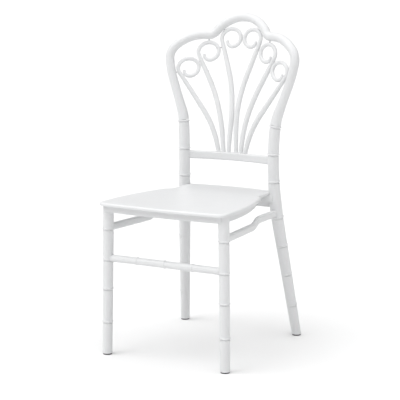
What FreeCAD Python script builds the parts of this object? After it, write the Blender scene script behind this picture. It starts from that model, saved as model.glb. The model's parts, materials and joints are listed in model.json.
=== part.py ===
import FreeCAD, Part
import math
import os

# White moulded chiavari chair: two raked back legs that run up into a three lobed crown,
# a fan of six scrolled spindles over a bowed rail, a flat seat with a rounded lip,
# turned front legs with bamboo rings, and three stretchers.
# X is across the chair, Y points to the back, Z up from the floor. Millimetres.

Vector = FreeCAD.Vector
doc = FreeCAD.newDocument("chiavari_chair")
sheet = doc.addObject("Spreadsheet::Sheet", "Sizes")

sizes = [
    # the chair as a whole
    ("overall_height", 950.6),
    ("overall_depth", 523.2),
    ("seat_height", 441.5),
    ("joint_clearance", 0.12),
    ("seating_gap", 0.3),
    # front legs
    ("front_leg_spread", 190.0),
    ("front_leg_lean_in", 7.2),
    ("front_leg_setback", 38.0),
    ("front_leg_lean_back", 3.0),
    ("front_leg_foot_radius", 13.9),
    ("front_leg_top_radius", 15.5),
    ("front_ring_first", 96.5),
    ("front_ring_second", 192.4),
    ("front_ring_third", 276.7),
    ("front_ring_fourth", 363.8),
    # bamboo rings
    ("ring_bead_radius", 3.2),
    ("ring_stand", 1.6),
    # back legs that run up into the posts
    ("post_spacing", 148.0),
    ("post_flare", 4.5),
    ("post_flare_start", 545.0),
    ("rear_splay", 44.0),
    ("rear_rake", 79.0),
    ("rear_knee_radius", 1040.0),
    ("rear_foot_radius", 13.9),
    ("rear_knee_tube_radius", 18.3),
    ("post_radius", 16.6),
    ("rear_knee_height", 400.0),
    ("rear_ring_first", 97.0),
    ("rear_ring_second", 192.6),
    ("rear_ring_third", 280.0),
    ("rear_ring_fourth", 365.6),
    ("post_ring_first", 471.5),
    ("post_ring_second", 551.0),
    ("crown_joint_height", 634.6),
    # surface that the back is bent on
    ("lean_start", 550.0),
    ("lean_ramp", 150.0),
    ("lean_slope", 0.19),
    ("bow_depth", 27.0),
    ("bow_growth", 0.045),
    # crown
    ("crown_tube_radius", 13.2),
    ("crown_foot_radius", 16.2),
    ("crown_foot_taper", 70.0),
    ("crown_start_angle", 6.5),
    ("crown_flare_radius", 129.0),
    ("crown_flare_turn", 14.2),
    ("crown_flank_radius", 334.0),
    ("crown_flank_turn", 11.3),
    ("crown_corner_radius", 47.0),
    ("crown_corner_turn", 52.5),
    ("crown_shoulder_radius", 110.0),
    ("crown_shoulder_turn", 50.8),
    ("crown_cusp_radius", 24.0),
    ("crown_cusp_turn", 59.4),
    ("crown_dowel_radius", 6.0),
    ("crown_dowel_length", 50.0),
    # lower back rail
    ("rail_height", 531.5),
    ("rail_depth", 24.0),
    ("rail_thickness", 15.0),
    ("rail_rounding", 4.5),
    ("rail_tenon_radius", 5.5),
    ("rail_tenon_length", 12.0),
    # spindles and their scrolls
    ("spindle_foot_width", 13.0),
    ("spindle_middle_width", 16.2),
    ("spindle_thickness", 11.6),
    ("scroll_width", 12.2),
    ("tail_width", 9.4),
    ("tail_round_share", 0.44),
    ("scroll_stretch", 1.09),
    ("scroll_radius", 26.6),
    ("scroll_under_radius", 24.5),
    ("tail_radius", 14.0),
    ("tail_turn", 105.0),
    ("spindle_peg_radius", 3.5),
    ("spindle_peg_length", 9.0),
    ("inner_foot_x", 12.3),
    ("inner_start_angle", -2.1),
    ("inner_foot_run", 81.8),
    ("inner_bend_radius", 453.6),
    ("inner_eye_x", 35.3),
    ("inner_eye_drop", 75.1),
    ("middle_foot_x", 28.6),
    ("middle_start_angle", 5.3),
    ("middle_foot_run", 32.8),
    ("middle_bend_radius", 495.9),
    ("middle_eye_x", 98.6),
    ("middle_eye_drop", 115.3),
    ("outer_foot_x", 44.3),
    ("outer_start_angle", 12.2),
    ("outer_foot_run", 19.3),
    ("outer_bend_radius", 290.2),
    ("outer_eye_x", 151.1),
    ("outer_eye_drop", 163.2),
    # seat
    ("seat_half_width", 201.5),
    ("seat_thickness", 9.0),
    ("seat_lip_rounding", 6.0),
    ("seat_front_bow", 20.0),
    ("seat_front_radius", 1750.0),
    ("seat_front_corner", 22.0),
    ("seat_side_share", 0.557),
    ("seat_side_blend", 0.73),
    ("seat_rear_width", 159.0),
    ("seat_rear_before_post", 102.5),
    ("seat_rear_corner", 22.0),
    ("seat_neck_width", 141.0),
    ("seat_neck_length", 12.0),
    ("seat_tab_behind_post", 10.0),
    ("seat_tab_bow", 27.5),
    ("seat_tab_radius", 590.0),
    ("seat_tab_corner", 3.0),
    ("skirt_inset", 14.0),
    ("skirt_wall", 4.0),
    ("skirt_depth", 19.0),
    ("neck_skirt_depth", 9.0),
    ("rear_apron_depth", 39.5),
    ("rear_apron_wall", 8.0),
    ("rear_apron_back", 3.5),
    ("rib_thickness", 3.0),
    ("rib_depth", 13.0),
    ("rib_pitch", 62.0),
    ("boss_size", 30.0),
    ("boss_depth", 18.6),
    # front stretcher
    ("front_stretcher_height", 280.0),
    ("front_stretcher_radius", 10.2),
    ("front_stretcher_ring_x", 88.5),
    ("stretcher_tenon_radius", 5.5),
    ("stretcher_tenon_length", 11.0),
    # side stretchers
    ("side_stretcher_below_seat", 74.6),
    ("side_stretcher_step", 13.8),
    ("side_stretcher_depth", 21.0),
    ("side_stretcher_width", 15.5),
    ("side_stretcher_rounding", 6.5),
    ("side_step_share", 0.5),
    ("side_step_length", 54.0),
    ("side_end_drop", 4.0),
    # glides under the feet
    ("glide_thickness", 3.6),
    ("glide_inset", 1.4),
    ("glide_edge", 0.8),
    ("glide_stem_radius", 4.0),
    ("glide_stem_length", 14.0),
    # fasteners
    ("bolt_radius", 3.0),
    ("bolt_head_radius", 5.5),
    ("bolt_head_height", 4.0),
    ("bolt_length", 46.0),
    ("rear_bolt_forward", 6.0),
    ("insert_radius", 4.5),
    ("insert_length", 14.0),
    ("insert_recess", 4.0),
    ("cap_radius", 7.0),
    ("cap_height", 2.2),
    ("screw_radius", 2.4),
    ("screw_head_radius", 4.6),
    ("screw_head_height", 3.0),
    ("screw_length", 30.0),
    ("pin_radius", 1.6),
    ("pin_length", 9.0),
    ("centre_pin_back", 6.0),
]

for row, (alias, value) in enumerate(sizes, start=1):
    sheet.set("A%d" % row, alias)
    sheet.set("B%d" % row, "%g" % value)
    sheet.setAlias("B%d" % row, alias)
doc.recompute()


def size(alias):
    return float(sheet.get(alias))


def make(kind, name, **sizes_and_cells):
    """One object; a text value is an expression on the sheet, a number is set as it is."""
    piece = doc.addObject(kind, name)
    for prop, value in sizes_and_cells.items():
        if isinstance(value, str):
            piece.setExpression(prop, value)
        else:
            setattr(piece, prop, value)
    return piece


def put(piece, base, direction=Vector(0, 0, 1), turn=0.0):
    """Stands the piece's own Z along direction, after a turn about that Z."""
    stand = FreeCAD.Rotation(Vector(0, 0, 1), direction)
    piece.Placement = FreeCAD.Placement(base, stand * FreeCAD.Rotation(Vector(0, 0, 1), turn))
    return piece


def rod(name, radius, start, direction, length):
    """A round rod whose radius is an expression on the sheet."""
    piece = make("Part::Cylinder", name, Radius=radius, Height=length)
    return put(piece, start, direction)


def fuse(name, pieces):
    joined = doc.addObject("Part::MultiFuse", name)
    joined.Shapes = pieces
    joined.Refine = False
    return joined


def cut(name, base, tools):
    if len(tools) == 1:
        tool = tools[0]
    else:
        tool = fuse(name + "_tools", tools)
    left = doc.addObject("Part::Cut", name)
    left.Base = base
    left.Tool = tool
    left.Refine = False
    return left


def solid_feature(name, shape):
    piece = doc.addObject("Part::Feature", name)
    piece.Shape = shape
    piece.Placement = FreeCAD.Placement()
    return piece


finished = []


def finish(piece, label):
    piece.Label = label
    finished.append(piece)
    return piece


# the surface that the whole back is bent on

crown_top = size("overall_height") - size("crown_tube_radius")
bow_half_width = size("post_spacing") + size("post_flare")


def back_lean(z):
    rise = z - size("lean_start")
    if rise <= 0:
        return 0.0
    if rise < size("lean_ramp"):
        return size("lean_slope") * rise * rise / (2 * size("lean_ramp"))
    return size("lean_slope") * (rise - size("lean_ramp") / 2)


def back_bow(x, z):
    depth = size("bow_depth") + size("bow_growth") * (z - size("lean_start"))
    return depth * math.cos(math.pi / 2 * x / bow_half_width)


back_datum = size("overall_depth") / 2 - size("crown_tube_radius") - back_lean(crown_top) - back_bow(0, crown_top)


def back_y(x, z):
    return back_datum + back_lean(z) + back_bow(x, z)


def on_back(x, z):
    return Vector(x, back_y(x, z), z)


# paths in the front view, drawn by walking along arcs and straight runs

class Walk:
    """Heading is in degrees from straight up, positive to the outside of the chair."""

    def __init__(self, x, z, heading):
        self.x = x
        self.z = z
        self.heading = heading
        self.stations = [(x, z, heading)]

    def line(self, length, parts):
        angle = math.radians(self.heading)
        for _ in range(parts):
            self.x += length / parts * math.sin(angle)
            self.z += length / parts * math.cos(angle)
            self.stations.append((self.x, self.z, self.heading))

    def arc(self, radius, turn, parts):
        side = math.copysign(1.0, turn)
        for _ in range(parts):
            old = math.radians(self.heading)
            self.heading += turn / parts
            new = math.radians(self.heading)
            self.x += side * radius * (math.cos(old) - math.cos(new))
            self.z += side * radius * (math.sin(new) - math.sin(old))
            self.stations.append((self.x, self.z, self.heading))


def bent_stations(stations, stretch=1.0):
    """Places each station on the back's surface, with its direction there."""
    placed = []
    step = 0.01
    for x, z, heading in stations:
        angle = math.radians(heading)
        here = on_back(x * stretch, z)
        ahead = on_back((x + step * math.sin(angle)) * stretch, z + step * math.cos(angle))
        placed.append((here, (ahead - here).normalize()))
    return placed


def section(centre, direction, width, thickness):
    """An oval across the direction; its width lies in the back's surface."""
    across = direction.cross(Vector(0, 1, 0)).normalize()
    stand = FreeCAD.Rotation(across, Vector(), direction, "ZXY")
    oval = Part.Ellipse(Vector(), width / 2, thickness / 2).toShape()
    oval.Placement = FreeCAD.Placement(centre, stand)
    return Part.Wire([oval])


def bent_tube(placed, widths, flatness):
    wires = [section(centre, direction, width, width * flatness)
             for (centre, direction), width in zip(placed, widths)]
    return Part.makeLoft(wires, True, True)


def blend(first, last, share):
    return first + (last - first) * share


round_flatness = 0.999


# back legs and posts

splay_reach = math.hypot(size("rear_splay"), size("rear_rake"))
straight_top = size("post_flare_start")
knee_radius = size("rear_knee_radius")
knee_phase = math.atan2(straight_top, knee_radius - splay_reach)
rake_angle = knee_phase - math.acos(knee_radius / math.hypot(straight_top, knee_radius - splay_reach))
rake_top = straight_top - knee_radius * math.sin(rake_angle)
flare_rise = size("crown_joint_height") - straight_top
flare_angle = math.degrees(math.atan(2 * size("post_flare") / flare_rise))


def splay_at(z):
    """How far the back leg stands out from the post's line at this height."""
    if z < rake_top:
        return knee_radius * (1 - math.cos(rake_angle)) + (rake_top - z) * math.tan(rake_angle)
    return knee_radius - math.sqrt(knee_radius ** 2 - (straight_top - z) ** 2)


def post_axis(z):
    if z > straight_top:
        x = size("post_spacing") + size("post_flare") * ((z - straight_top) / flare_rise) ** 2
        return on_back(x, z)
    reach = splay_at(z) / splay_reach
    foot_of_post = on_back(size("post_spacing"), straight_top)
    return Vector(foot_of_post.x + reach * size("rear_splay"), foot_of_post.y + reach * size("rear_rake"), z)


def post_direction(z):
    return (post_axis(z + 0.01) - post_axis(z - 0.01)).normalize()


def post_radius_at(z):
    if z < size("rear_knee_height"):
        return blend(size("rear_foot_radius"), size("rear_knee_tube_radius"), z / size("rear_knee_height"))
    if z < size("post_ring_first"):
        share = (z - size("rear_knee_height")) / (size("post_ring_first") - size("rear_knee_height"))
        return blend(size("rear_knee_tube_radius"), size("post_radius"), share)
    share = (z - size("post_ring_first")) / (size("crown_joint_height") - size("post_ring_first"))
    return blend(size("post_radius"), size("crown_foot_radius"), share)


def post_tube(extra, lowest, highest):
    placed = []
    widths = []
    runs = 24
    for number in range(runs + 1):
        z = blend(lowest, highest, number / runs)
        placed.append((post_axis(z), post_direction(z)))
        widths.append(2 * (post_radius_at(z) + extra))
    return bent_tube(placed, widths, round_flatness)


def ring(name, centre, direction, tube_radius, sweep=360.0, turn=0.0):
    bead = make("Part::Torus", name, Radius2="Sizes.ring_bead_radius", Angle3=sweep)
    bead.setExpression("Radius1", "%g + Sizes.ring_stand - Sizes.ring_bead_radius" % tube_radius)
    return put(bead, centre, direction, turn)


floor_cut = make("Part::Box", "below_glides", Length="2 * Sizes.overall_depth",
                 Width="2 * Sizes.overall_depth", Height="Sizes.overall_depth")
floor_cut.Placement.Base = Vector(-size("overall_depth"), -size("overall_depth"),
                                  size("glide_thickness") - size("overall_depth"))

below_floor = -size("rear_foot_radius")
post_core = solid_feature("post_core", post_tube(0.0, below_floor, size("crown_joint_height")))
post_beads = []
for alias in ("rear_ring_first", "rear_ring_second", "rear_ring_third", "rear_ring_fourth"):
    z = size(alias)
    bead = ring("bead_" + alias, post_axis(z), post_direction(z), post_radius_at(z), 180.0, -90.0)
    post_beads.append(bead)
crown_ring_height = size("crown_joint_height") - size("ring_bead_radius")
for alias, z in (("lower", size("post_ring_first")), ("upper", size("post_ring_second"))):
    post_beads.append(ring("bead_post_" + alias, post_axis(z), post_direction(z), post_radius_at(z)))
post_beads.append(ring("bead_post_top", post_axis(crown_ring_height), post_direction(crown_ring_height),
                       post_radius_at(crown_ring_height)))

# front leg

leg_foot = Vector(size("front_leg_spread"), -size("overall_depth") / 2 + size("front_leg_setback"), 0)
leg_top_height = size("seat_height") - size("seat_thickness") - size("joint_clearance")
leg_top = leg_foot + Vector(-size("front_leg_lean_in"), size("front_leg_lean_back"), leg_top_height)
leg_direction = (leg_top - leg_foot).normalize()


def leg_axis(z):
    return leg_foot + (leg_top - leg_foot) * (z / leg_top_height)


def leg_radius_at(z):
    return blend(size("front_leg_foot_radius"), size("front_leg_top_radius"), z / leg_top_height)


def leg_cone(name, extra):
    cone = make("Part::Cone", name, Height=(leg_top - leg_foot).Length,
                Radius1="Sizes.front_leg_foot_radius + " + extra,
                Radius2="Sizes.front_leg_top_radius + " + extra)
    return put(cone, leg_foot, leg_direction)


leg_core = leg_cone("leg_core", "0")
leg_beads = []
for alias in ("front_ring_first", "front_ring_second", "front_ring_third", "front_ring_fourth"):
    z = size(alias)
    leg_beads.append(ring("bead_" + alias, leg_axis(z), leg_direction, leg_radius_at(z)))

# rooms are the shapes that other pieces keep clear of

def bead_room(name, bead):
    """The space that a bead needs, with the clearance around it."""
    space = make("Part::Torus", name, Radius1=bead.Radius1,
                 Radius2="Sizes.ring_bead_radius + Sizes.joint_clearance")
    space.Placement = bead.Placement
    return space


doc.recompute()
leg_room = fuse("leg_room", [leg_cone("leg_cone_room", "Sizes.joint_clearance")]
                + [bead_room(bead.Name + "_room", bead) for bead in leg_beads])
side_z = size("seat_height") - size("side_stretcher_below_seat")
room_low = side_z - 2 * size("side_stretcher_depth")
room_high = size("rail_height") + 2 * size("rail_depth")
post_tube_room = solid_feature("post_tube_room", post_tube(size("joint_clearance"), room_low, room_high))
post_room = fuse("post_room", [post_tube_room] + [bead_room(bead.Name + "_room", bead) for bead in post_beads])


def mirrored(name, source):
    """The same piece on the left of the chair."""
    other = doc.addObject("Part::Mirroring", name)
    other.Source = source
    other.Normal = Vector(1, 0, 0)
    return other


leg_room_left = mirrored("leg_room_left", leg_room)
post_room_left = mirrored("post_room_left", post_room)

# glides

glide_stem_bores = {}
for name, foot in (("front", leg_axis(size("glide_thickness"))), ("rear", post_axis(size("glide_thickness")))):
    foot_radius = "Sizes.%s_foot_radius - Sizes.glide_inset" % ("front_leg" if name == "front" else "rear")
    disc = rod(name + "_glide_disc", foot_radius, Vector(foot.x, foot.y, 0), Vector(0, 0, 1), 1)
    disc.setExpression("Height", "Sizes.glide_thickness - Sizes.joint_clearance")
    stem = rod(name + "_glide_stem", "Sizes.glide_stem_radius", Vector(foot.x, foot.y, 0), Vector(0, 0, 1), 1)
    stem.setExpression("Height", "Sizes.glide_thickness + Sizes.glide_stem_length")
    disc_edge = make("Part::Chamfer", name + "_glide_edge", Base=disc)
    disc_edge.Edges = [(3, size("glide_edge"), size("glide_edge"))]
    doc.recompute()
    glide = finish(fuse(name + "_glide", [disc_edge, stem]), "foot_glide_%s_right" % name)
    finish(mirrored(name + "_glide_left", glide), "foot_glide_%s_left" % name)
    bore = rod(name + "_stem_bore", "Sizes.glide_stem_radius + Sizes.joint_clearance",
               Vector(foot.x, foot.y, 0), Vector(0, 0, 1), 1)
    bore.setExpression("Height", "Sizes.glide_thickness + Sizes.glide_stem_length + Sizes.joint_clearance")
    glide_stem_bores[name] = bore

# stretchers: each is coped to the legs and has a round tenon in a socket


def tenon_pair(name, radius, length, start, direction):
    """A tenon and the socket that it sits in; start is on the tube's surface, or inside the stretcher."""
    tenon = rod(name + "_tenon", radius, start, direction, length)
    socket = rod(name + "_socket", radius + " + Sizes.joint_clearance", start, direction, 1)
    socket.Height = length + size("joint_clearance")
    return tenon, socket


tenon_root = 4.0
tenon_reach = tenon_root + size("stretcher_tenon_length")

stretcher_z = size("front_stretcher_height")
stretcher_end = leg_axis(stretcher_z)
bar = make("Part::Cylinder", "front_bar", Radius="Sizes.front_stretcher_radius", Height=2 * stretcher_end.x)
put(bar, Vector(-stretcher_end.x, stretcher_end.y, stretcher_z), Vector(1, 0, 0))
coped_bar = cut("front_bar_coped", bar, [leg_room, leg_room_left])
bar_beads = []
for number, place in enumerate((-1, 0, 1)):
    centre = Vector(place * size("front_stretcher_ring_x"), stretcher_end.y, stretcher_z)
    bar_beads.append(ring("front_bar_bead_%d" % number, centre, Vector(1, 0, 0), size("front_stretcher_radius")))
tenon_start = Vector(stretcher_end.x - leg_radius_at(stretcher_z) - tenon_root, stretcher_end.y, stretcher_z)
front_tenon, front_socket = tenon_pair("front_stretcher", "Sizes.stretcher_tenon_radius", tenon_reach,
                                       tenon_start, Vector(1, 0, 0))
front_tenon_left = mirrored("front_tenon_left", front_tenon)
finish(fuse("front_stretcher", [coped_bar, front_tenon, front_tenon_left] + bar_beads), "front_stretcher")

# side stretcher, drawn along its own length from the front leg's axis to the back leg's

side_rear_z = side_z + size("side_stretcher_step") - size("side_end_drop")
side_start = leg_axis(side_z)
side_end = post_axis(side_rear_z)
side_run = Vector(side_end.x - side_start.x, side_end.y - side_start.y, 0)
side_length = side_run.Length
side_direction = side_run * (1 / side_length)


def step_arcs(start_x, low_z, forwards):
    """Two tangent arcs that lift the bar by its step."""
    run = size("side_step_length")
    rise = size("side_stretcher_step")
    radius = (run * run + rise * rise) / (4 * rise)
    sag = radius - math.sqrt(radius ** 2 - (run / 4) ** 2)
    points = [Vector(start_x, low_z, 0), Vector(start_x + run / 4, low_z + sag, 0),
              Vector(start_x + run / 2, low_z + rise / 2, 0),
              Vector(start_x + 3 * run / 4, low_z + rise - sag, 0), Vector(start_x + run, low_z + rise, 0)]
    if not forwards:
        points.reverse()
    return [Part.Arc(*points[:3]), Part.Arc(*points[2:])]


def falling_arc(start_x, top_z, end):
    """Leaves the step level and falls to the back leg."""
    run = end.x - start_x
    radius = (run * run + size("side_end_drop") ** 2) / (2 * size("side_end_drop"))
    middle = start_x + run / 2
    return Part.Arc(Vector(start_x, top_z, 0),
                    Vector(middle, top_z - radius + math.sqrt(radius ** 2 - (run / 2) ** 2), 0), end)


def origin_plane(body, role):
    return next(plane for plane in body.Origin.OriginFeatures if plane.Role == role)


def sketch_on(body, name, role):
    sketch = body.newObject("Sketcher::SketchObject", name)
    sketch.AttachmentSupport = (origin_plane(body, role), "")
    sketch.MapMode = "FlatFace"
    return sketch


side_body = doc.addObject("PartDesign::Body", "side_bar")
side_sketch = sketch_on(side_body, "side_bar_outline", "XZ_Plane")
half = size("side_stretcher_depth") / 2
step_start = side_length * size("side_step_share")
step_end = step_start + size("side_step_length")
step_top = size("side_stretcher_step")
end_top = step_top - size("side_end_drop")
low_edge = [Part.LineSegment(Vector(0, -half, 0), Vector(step_start, -half, 0))]
low_edge += step_arcs(step_start, -half, True)
rear_low = Vector(side_length, end_top - half, 0)
rear_high = Vector(side_length, end_top + half, 0)
low_edge.append(falling_arc(step_end, step_top - half, rear_low))
high_edge = [falling_arc(step_end, step_top + half, rear_high)]
high_edge += step_arcs(step_start, half, False)
high_edge.append(Part.LineSegment(Vector(step_start, half, 0), Vector(0, half, 0)))
side_sketch.addGeometry(low_edge + [Part.LineSegment(rear_low, rear_high)] + high_edge
                        + [Part.LineSegment(Vector(0, half, 0), Vector(0, -half, 0))], False)
side_pad = side_body.newObject("PartDesign::Pad", "side_bar_pad")
side_pad.Profile = side_sketch
side_pad.Midplane = True
side_pad.setExpression("Length", "Sizes.side_stretcher_width")
doc.recompute()
long_edges = ["Edge%d" % (number + 1) for number, edge in enumerate(side_pad.Shape.Edges)
              if abs(edge.BoundBox.YLength) < 0.01 and edge.BoundBox.XLength > 1]
side_round = side_body.newObject("PartDesign::Fillet", "side_bar_rounding")
side_round.Base = (side_pad, long_edges)
side_round.setExpression("Radius", "Sizes.side_stretcher_rounding")
side_body.Tip = side_round
side_turn = math.degrees(math.atan2(side_direction.y, side_direction.x))
side_body.Placement = FreeCAD.Placement(Vector(side_start.x, side_start.y, side_z),
                                        FreeCAD.Rotation(Vector(0, 0, 1), side_turn))
doc.recompute()
side_coped = cut("side_bar_coped", side_body, [leg_room, post_room])
front_inset = leg_radius_at(side_z) + tenon_root
side_front_tenon, side_front_socket = tenon_pair(
    "side_front", "Sizes.stretcher_tenon_radius", tenon_reach,
    Vector(side_start.x, side_start.y, side_z) + side_direction * front_inset, side_direction * -1)
rear_inset = post_radius_at(side_rear_z) + tenon_root
side_rear_tenon, side_rear_socket = tenon_pair(
    "side_rear", "Sizes.stretcher_tenon_radius", tenon_reach,
    Vector(side_end.x, side_end.y, side_rear_z) - side_direction * rear_inset, side_direction)
side_stretcher = finish(fuse("side_stretcher", [side_coped, side_front_tenon, side_rear_tenon]),
                        "side_stretcher_right")
finish(mirrored("side_stretcher_left_copy", side_stretcher), "side_stretcher_left")

# lower back rail, bowed like the back

rail_z = size("rail_height")
rail_end = post_axis(rail_z)
rail_middle_y = back_y(0, rail_z)
rail_low = rail_z - size("rail_depth") / 2
rail_body = doc.addObject("PartDesign::Body", "rail_bar")
rail_sketch = sketch_on(rail_body, "rail_outline", "XY_Plane")
rail_half = size("rail_thickness") / 2
rail_corners = {}
for side in (-1, 1):
    rail_corners[side] = [Vector(side * rail_end.x, rail_end.y - rail_half, 0),
                          Vector(side * rail_end.x, rail_end.y + rail_half, 0)]
rail_sketch.addGeometry([
    Part.Arc(rail_corners[-1][0], Vector(0, rail_middle_y - rail_half, 0), rail_corners[1][0]),
    Part.LineSegment(rail_corners[1][0], rail_corners[1][1]),
    Part.Arc(rail_corners[1][1], Vector(0, rail_middle_y + rail_half, 0), rail_corners[-1][1]),
    Part.LineSegment(rail_corners[-1][1], rail_corners[-1][0])], False)
rail_pad = rail_body.newObject("PartDesign::Pad", "rail_pad")
rail_pad.Profile = rail_sketch
rail_pad.setExpression("Length", "Sizes.rail_depth")
doc.recompute()
bowed_edges = ["Edge%d" % (number + 1) for number, edge in enumerate(rail_pad.Shape.Edges)
               if edge.BoundBox.XLength > size("post_spacing")]
rail_round = rail_body.newObject("PartDesign::Fillet", "rail_rounding")
rail_round.Base = (rail_pad, bowed_edges)
rail_round.setExpression("Radius", "Sizes.rail_rounding")
rail_body.Tip = rail_round
rail_body.Placement = FreeCAD.Placement(Vector(0, 0, rail_low), FreeCAD.Rotation())
doc.recompute()
rail_coped = cut("rail_coped", rail_body, [post_room, post_room_left])
rail_slope = math.atan2(rail_middle_y - rail_end.y, rail_end.x) * 2
rail_direction = Vector(math.cos(rail_slope), -math.sin(rail_slope), 0)
rail_inset = post_radius_at(rail_z) + tenon_root
rail_tenon, rail_socket = tenon_pair(
    "rail", "Sizes.rail_tenon_radius", tenon_root + size("rail_tenon_length"),
    Vector(rail_end.x, rail_end.y, rail_z) - rail_direction * rail_inset, rail_direction)
rail_tenon_left = mirrored("rail_tenon_left", rail_tenon)

# spindles: up from the rail, out in a bend, straight, and round into a scroll

spindle_foot_z = rail_z + size("rail_depth") / 2 + size("joint_clearance")
foot_spare = size("spindle_foot_width") / 2
foot_cut = make("Part::Box", "below_spindles", Length=2 * size("post_spacing"), Width=size("overall_depth") / 2,
                Height="Sizes.spindle_foot_width")
foot_cut.Placement.Base = Vector(-size("post_spacing"), 0, spindle_foot_z - size("spindle_foot_width"))
stretch = size("scroll_stretch")
spindle_paths = {}
spindle_solids = {}
peg_sockets = []
peg_root = 3.0
bend_parts = 8
run_parts = 3
bend_stations = 1 + run_parts + bend_parts
straight_parts = 10
straight_stations = bend_stations + straight_parts + 1


def spindle_walk(kind):
    foot_x = size(kind + "_foot_x") / stretch
    bend = size(kind + "_bend_radius")
    start = math.radians(size(kind + "_start_angle"))
    eye_x = size(kind + "_eye_x") / stretch
    run = size(kind + "_foot_run")
    span_x = eye_x - foot_x - run * math.sin(start) - bend * math.cos(start)
    eye_z = size("overall_height") - size(kind + "_eye_drop")
    span_z = eye_z - spindle_foot_z - run * math.cos(start) + bend * math.sin(start)
    span = math.hypot(span_x, span_z)
    reach = bend + size("scroll_radius")
    leave = math.degrees(math.atan2(span_x, span_z) + math.asin(reach / span))
    walk = Walk(foot_x - foot_spare * math.tan(start), spindle_foot_z - foot_spare, size(kind + "_start_angle"))
    walk.line(foot_spare / math.cos(start), 1)
    walk.line(run, run_parts)
    walk.arc(bend, leave - walk.heading, bend_parts)
    bend_end = len(walk.stations) - 1
    walk.line(math.sqrt(span * span - reach * reach), straight_parts)
    scroll_start = len(walk.stations) - 1
    walk.arc(size("scroll_radius"), -(leave + 180), 26)
    walk.arc(size("scroll_under_radius"), -80.0, 10)
    tail_start = len(walk.stations) - 1
    walk.arc(size("tail_radius"), -size("tail_turn"), 13)
    return walk, bend_end, scroll_start, tail_start


def spindle_widths(count, bend_end, scroll_start, tail_start):
    widths = []
    for number in range(count):
        if number <= bend_end:
            share = math.sin(math.pi / 2 * min(1.0, 2 * number / bend_end))
            widths.append(blend(size("spindle_foot_width"), size("spindle_middle_width"), share))
        elif number <= scroll_start:
            share = (number - bend_end) / (scroll_start - bend_end)
            widths.append(blend(size("spindle_middle_width"), size("scroll_width"), share))
        elif number <= tail_start:
            widths.append(size("scroll_width"))
        else:
            share = (number - tail_start) / (count - 1 - tail_start)
            widths.append(blend(size("scroll_width"), size("tail_width"), share))
    return widths


spindle_flatness = size("spindle_thickness") / size("spindle_middle_width")
for kind in ("outer", "middle", "inner"):
    walk, bend_end, scroll_start, tail_start = spindle_walk(kind)
    placed = bent_stations(walk.stations, stretch)
    widths = spindle_widths(len(placed), bend_end, scroll_start, tail_start)
    spindle_paths[kind] = [centre for centre, direction in placed]
    long_core = solid_feature(kind + "_spindle_long_core", bent_tube(placed, widths, spindle_flatness))
    core = cut(kind + "_spindle_core", long_core, [foot_cut])
    tail_end = make("Part::Sphere", kind + "_tail_end", Radius="Sizes.tail_width * Sizes.tail_round_share")
    put(tail_end, placed[-1][0])
    foot = placed[1][0] + Vector(0, 0, peg_root)
    peg = rod(kind + "_peg", "Sizes.spindle_peg_radius", foot, Vector(0, 0, -1), size("spindle_peg_length") + peg_root)
    socket = rod(kind + "_peg_socket", "Sizes.spindle_peg_radius + Sizes.joint_clearance", foot,
                 Vector(0, 0, -1), size("spindle_peg_length") + peg_root + size("joint_clearance"))
    peg_sockets.append(socket)
    spindle_solids[kind] = fuse(kind + "_spindle_body", [core, tail_end, peg])

peg_sockets_left = [mirrored(socket.Name + "_left", socket) for socket in peg_sockets]
rail_joined = fuse("rail_joined", [rail_coped, rail_tenon, rail_tenon_left])
finish(cut("lower_back_rail_cut", rail_joined, peg_sockets + peg_sockets_left), "lower_back_rail")

# crown: half of it is walked from the post to the top, and two lengths close it exactly

crown_foot = post_axis(size("crown_joint_height"))


def crown_walk(straight, lobe_radius):
    walk = Walk(crown_foot.x, crown_foot.z, flare_angle)
    walk.arc(size("crown_flare_radius"), size("crown_flare_turn"), 4)
    straight_heading = walk.heading
    walk.line(straight, 3)
    walk.arc(size("crown_flank_radius"), -size("crown_flank_turn"), 3)
    walk.arc(size("crown_corner_radius"), -size("crown_corner_turn"), 9)
    walk.arc(size("crown_shoulder_radius"), -size("crown_shoulder_turn"), 9)
    walk.arc(size("crown_cusp_radius"), size("crown_cusp_turn"), 9)
    lobe_heading = walk.heading
    walk.arc(lobe_radius, -90.0 - lobe_heading, 10)
    return walk, math.radians(straight_heading), math.radians(lobe_heading)


probe, line_angle, lobe_angle = crown_walk(0.0, 1e-6)
short_x = -probe.x
short_z = crown_top - probe.z
lobe_x = -math.cos(lobe_angle)
lobe_z = math.sin(lobe_angle) + 1
turn_down = math.sin(line_angle) * lobe_z - math.cos(line_angle) * lobe_x
crown_straight = (short_x * lobe_z - short_z * lobe_x) / turn_down
crown_lobe_radius = (math.sin(line_angle) * short_z - math.cos(line_angle) * short_x) / turn_down
print("crown flank %.1f, top lobe radius %.1f" % (crown_straight, crown_lobe_radius))
half_crown, _, _ = crown_walk(crown_straight, crown_lobe_radius)
right_half = bent_stations(half_crown.stations)
gap_up = post_direction(size("crown_joint_height")) * size("joint_clearance")
right_half[0] = (right_half[0][0] + gap_up, post_direction(size("crown_joint_height")))
left_half = [(Vector(-centre.x, centre.y, centre.z), Vector(direction.x, -direction.y, -direction.z))
             for centre, direction in reversed(right_half[:-1])]


def crown_radius_at(centre):
    share = min(1.0, (centre.z - crown_foot.z) / size("crown_foot_taper"))
    return blend(size("crown_foot_radius"), size("crown_tube_radius"), share)


crown_placed = right_half + left_half
crown_widths = [2 * crown_radius_at(centre) for centre, direction in crown_placed]
crown_core = solid_feature("crown_core", bent_tube(crown_placed, crown_widths, round_flatness))
crown_path = [centre for centre, direction in right_half]

# dowels in the joints between posts and crown

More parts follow.
